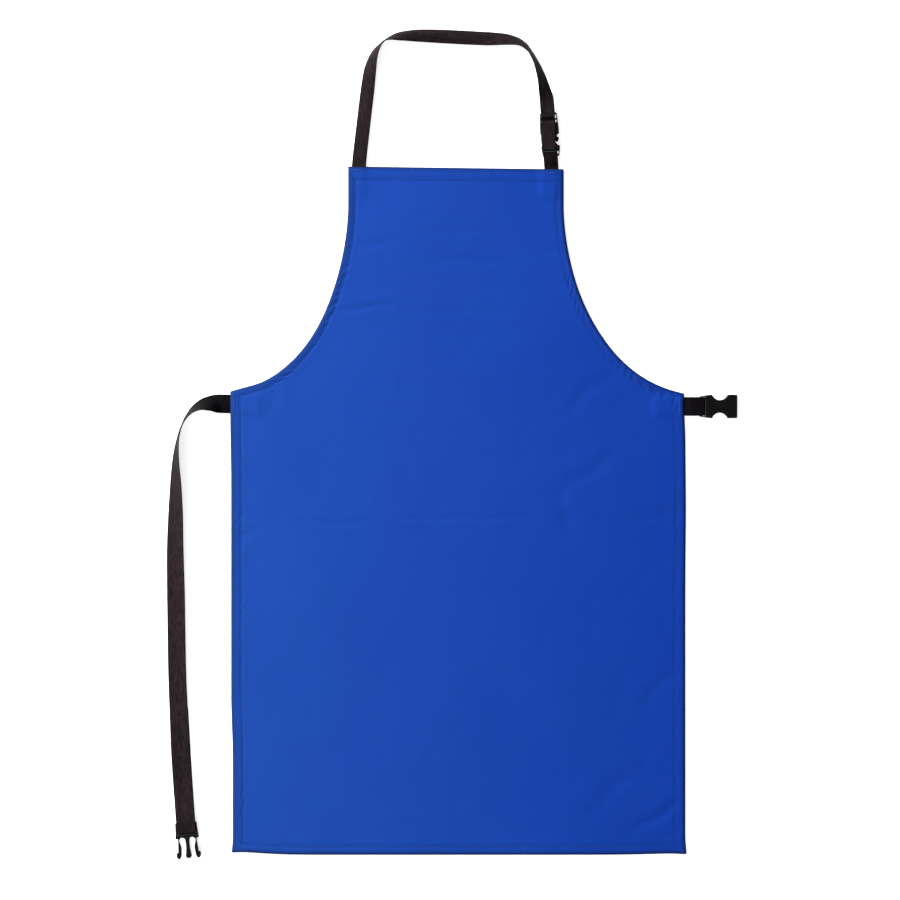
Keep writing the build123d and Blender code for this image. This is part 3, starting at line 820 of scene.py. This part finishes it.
def make_stage():
    """Camera over the apron, a pale floor that glows a little, and soft light, stronger from the left."""
    scene = bpy.context.scene
    scene.view_settings.view_transform = "Standard"
    camera = bpy.data.objects.new("camera", bpy.data.cameras.new("camera"))
    scene.collection.objects.link(camera)
    camera.data.lens, camera.data.sensor_width = LENS, SENSOR
    height = VIEW_SPAN * LENS / SENSOR
    camera.location = (VIEW_CENTRE[0] * MM, VIEW_CENTRE[1] * MM, height * MM)
    camera.data.clip_start, camera.data.clip_end = 0.05, 50
    scene.camera = camera

    bpy.ops.mesh.primitive_plane_add(size=FLOOR_WIDE, location=(0, 0, FLOOR_LEVEL))
    floor = bpy.context.object
    floor.name = "floor"
    material, _, _, shader = new_material("pale_floor")
    shader.inputs["Base Color"].default_value = (0.98, 0.98, 0.98, 1)
    set_gloss(shader, 0.9, 0.1)
    shader.inputs["Emission Color"].default_value = (1, 1, 1, 1)
    shader.inputs["Emission Strength"].default_value = 0.8
    paint(floor, material)

    world = bpy.data.worlds.new("soft_sky")
    world.use_nodes = True
    nodes, links = world.node_tree.nodes, world.node_tree.links
    side = add(nodes, "ShaderNodeVectorMath", operation="DOT_PRODUCT")
    side.inputs[1].default_value = (-0.76, 0.46, 0.46)
    links.new(add(nodes, "ShaderNodeTexCoord").outputs["Generated"], side.inputs[0])
    glow = spread_over(nodes, links, side.outputs["Value"], 0.45, 4.4, first=0.1, last=1.0)
    links.new(glow, nodes["Background"].inputs["Strength"])
    scene.world = world
    for name, place, size, power in (
        ("key_light", (-3.4, 2.2, 2.1), 2.6, 530.0),
        ("fill_light", (-1.0, -3.4, 2.6), 2.4, 70.0),
    ):
        light = bpy.data.objects.new(name, bpy.data.lights.new(name, "AREA"))
        light.data.size, light.data.energy = size, power
        light.location = place
        light.rotation_mode = "QUATERNION"
        light.rotation_quaternion = (Vector((0, -0.1, 0)) - Vector(place)).to_track_quat("-Z", "Y")
        scene.collection.objects.link(light)
    return floor


# ---- assembly ------------------------------------------------------------------------------------


def dress_panel():
    """Cloth, lining, stitches and tacks of the apron itself."""
    rim = Perimeter()
    cloth = make_cloth(rim)
    lining = make_lining(rim)
    thick = lining.modifiers.new("cloth", "SOLIDIFY")
    thick.thickness, thick.offset = LINING_THICK * MM, 1.0
    stitches = make_hem_stitches(rim)
    tacks = [
        make_bar_tack("tack_neck_left", NECK_ROUTE[1][0], BIB_TOP - TACK_INSET, False, NECK_WEB),
        make_bar_tack("tack_neck_right", NECK_BUCKLE[0], BIB_TOP - TACK_INSET, False, NECK_WEB),
        make_bar_tack("tack_waist_left", TACK_INSET - SKIRT_HALF, WAIST_ROUTE[1][1], True, WAIST_WEB),
        make_bar_tack("tack_waist_right", SKIRT_HALF - TACK_INSET, WAIST_SOCKET[1], True, WAIST_WEB),
    ]
    paint(cloth, cloth_material("blue_cloth", CLOTH_BLUE, CLOTH_DEEP, 480.0))
    paint(lining, cloth_material("lining_cloth", CLOTH_DEEP, CLOTH_BLUE, 380.0))
    thread = thread_material("blue_thread", THREAD_BLUE)
    tack_nodes = ("neck_left_bar_tack", "neck_right_bar_tack", "waist_left_bar_tack", "waist_right_bar_tack")
    for piece, node in zip(tacks, tack_nodes):
        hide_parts(node)
    for piece in (stitches, *tacks):
        paint(piece, thread)
    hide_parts("hem_topstitch")
    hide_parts("front_shell", "heat_barrier")
    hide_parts("back_lining")
    for piece in (cloth, lining, stitches, *tacks):
        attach(piece, "apron")
    lining_edge = rim.place + rim.inward(dict.fromkeys(STITCH_INSET, LINING_INSET))


def dress_neck(webbing):
    """Neck strap, its threaded end and the short strap that holds the socket."""
    line, across = laid_frames(NECK_ROUTE, 1)
    travelled = along_line(line)
    split = int(np.searchsorted(travelled, HEM_END))
    cup = 0.8 * smoothstep(travelled, 60, 110) * smoothstep(-travelled, -470, -400)
    cup = cup + 1.7 * smoothstep(travelled, 190, 250) * smoothstep(-travelled, -380, -330)
    hem_end = ribbon("neck_strap_hem_end", line[:split + 1], across[:split + 1], NECK_WEB, cup[:split + 1])
    loop = ribbon("neck_strap_loop", line[split:], across[split:], NECK_WEB, cup[split:])
    over, under, top = 6.25, 0.95, 7.85
    profile = [
        (56.9, over), (54.0, over), (52.2, over), (51.6, over - 0.3), (51.5, 4.6), (51.5, 2.4),
        (51.3, under + 0.1), (50.4, under), (48.4, under), (47.3, under + 0.1), (47.0, 2.4), (47.0, 4.6),
        (46.9, top - 0.6), (46.2, top + 0.35), (43.0, top + 0.4), (36.0, top + 0.25), (26.0, top + 0.1),
        (17.0, top), (8.0, top + 0.1)]

    def drift(along):
        return 1.9 * smoothstep(-along, -46, -22) - 1.2 * smoothstep(-along, -18, 0)

    tail = folded_ribbon("neck_strap_end", NECK_BUCKLE, profile, NECK_OFF, NECK_WEB, cup=0.25, drift=drift)
    doubled = socket_profile(NECK_BUCKLE[3], BIB_TOP - NECK_BUCKLE[1])
    # painted shade darkens the doubled socket strap most of the way to black
    socket_end = folded_ribbon("neck_socket_webbing", NECK_BUCKLE, doubled, NECK_OFF, NECK_WEB, painted_shade=0.7)
    for piece in (hem_end, loop, tail, socket_end):
        paint(piece, webbing)
    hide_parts("neck_strap")
    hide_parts("neck_strap_tail")
    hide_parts("neck_socket_strap")
    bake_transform(hem_end)
    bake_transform(loop)
    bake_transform(socket_end)
    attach(tail, "neck_plug")


def socket_profile(size, hem):
    """A doubled strap from inside the hem, round the socket's bar and back: (along, up)."""
    over, under = 4.5 * size + 2.55 + (size - 1) * 1.9, 4.5 * size - 2.55 - (size - 1) * 1.9
    bar, slot_end, middle = 3.6 * size, 8.2 * size, 4.5 * size
    inside = hem - 30
    fold = slot_end - 0.95
    return [
        (inside, UPPER_LAYER), (hem - 4, UPPER_LAYER), (hem + 2, UPPER_LAYER + 0.1), (hem + 7, over - 0.5),
        (-1.0, over), (bar * 0.6, over), (fold - 1.0, over), (fold, over - 0.6), (fold, middle),
        (fold, under + 0.6), (fold - 1.0, under), (bar * 0.6, under), (-1.0, under), (hem + 7, under + 0.3),
        (hem + 2, LOWER_LAYER), (hem - 4, LOWER_LAYER), (inside, LOWER_LAYER)]


def dress_waist(webbing, black_thread):
    """Waist strap with its sewn-back end, and the short strap that holds the socket."""
    line, across = laid_frames(WAIST_ROUTE, -1)
    travelled = along_line(line)
    first = int(np.searchsorted(travelled, WAIST_HIDDEN))
    line, across, travelled = line[first:], across[first:], travelled[first:]
    cup = 0.7 * smoothstep(travelled, 60, 140) * smoothstep(-travelled, -520, -420)
    # painted shade: black where the strap leaves the hem, its plain colour further on, and paler along its
    # far run
    painted_shade = smoothstep(-travelled, -230, -100) - 0.3 * smoothstep(travelled, 230, 340)
    strap = ribbon("waist_strap_webbing", line, across, WAIST_WEB, cup, painted_shade=painted_shade)
    over, under, floor_level = 7.65, 1.35, 0.7
    profile = [
        (71.6, over), (68.0, over), (64.0, over), (61.0, over), (58.2, over), (57.0, over - 0.6), (56.9, 5.8),
        (56.9, 3.2), (57.0, under + 0.6), (58.2, under), (62.0, under), (68.0, under), (74.0, under),
        (79.0, 0.9), *((along, floor_level) for along in (85.0, 110.0, 150.0, 190.0, 223.0))]

    def drift(along):
        return -1.2 * smoothstep(along, 80, 130) - 4.2 * smoothstep(along, 110, 260)

    tail = folded_ribbon("waist_strap_end", WAIST_PLUG, profile, 0.0, WAIST_WEB, drift=drift)
    pitch, long = 3.0, 2.4
    spots = [(141 + pitch * row, -8.7 + pitch * index, 2.9) for row in range(4) for index in range(6)]
    starts = buckle_frame(WAIST_PLUG, spots)
    ends = buckle_frame(WAIST_PLUG, [(along, side + long, up) for along, side, up in spots])
    sewing = thread_pieces("waist_end_stitches", starts, ends, 0.3, 0.2)
    doubled = socket_profile(WAIST_SOCKET[3], SKIRT_HALF - WAIST_SOCKET[0])
    # painted shade makes the doubled socket strap black
    socket_end = folded_ribbon("waist_socket_webbing", WAIST_SOCKET, doubled, 0.0, WAIST_WEB, painted_shade=1.0)
    for piece in (strap, tail, socket_end):
        paint(piece, webbing)
    paint(sewing, black_thread)
    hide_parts("waist_strap")
    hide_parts("waist_strap_tail")
    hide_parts("waist_tail_stitch")
    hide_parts("waist_socket_strap")
    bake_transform(strap)
    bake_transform(socket_end)
    for piece in (tail, sewing):
        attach(piece, "waist_strap")


def dress_buckles():
    """The moulded buckle halves keep their CAD shape and get their plastic and crisp edges."""
    plastic = plastic_material("black_plastic", PLASTIC_BLACK)
    for name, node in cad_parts.items():
        if "buckle" in name or "plug_arm" in name:
            paint(node, plastic)
            node.data.shade_smooth()
            split = node.modifiers.new("crisp_edges", "EDGE_SPLIT")
            split.split_angle = math.radians(35)


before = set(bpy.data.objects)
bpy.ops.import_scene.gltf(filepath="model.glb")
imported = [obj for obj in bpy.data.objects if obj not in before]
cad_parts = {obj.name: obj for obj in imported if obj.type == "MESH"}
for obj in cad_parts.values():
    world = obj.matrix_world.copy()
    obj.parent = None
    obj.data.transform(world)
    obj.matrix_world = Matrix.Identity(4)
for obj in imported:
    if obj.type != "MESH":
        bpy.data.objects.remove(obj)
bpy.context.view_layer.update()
floor = make_stage()
webbing = webbing_material("black_webbing", WEB_BLACK, WEB_BROWN)
dress_neck(webbing)
dress_waist(webbing, thread_material("black_thread", THREAD_BLACK))
dress_buckles()
dress_panel()
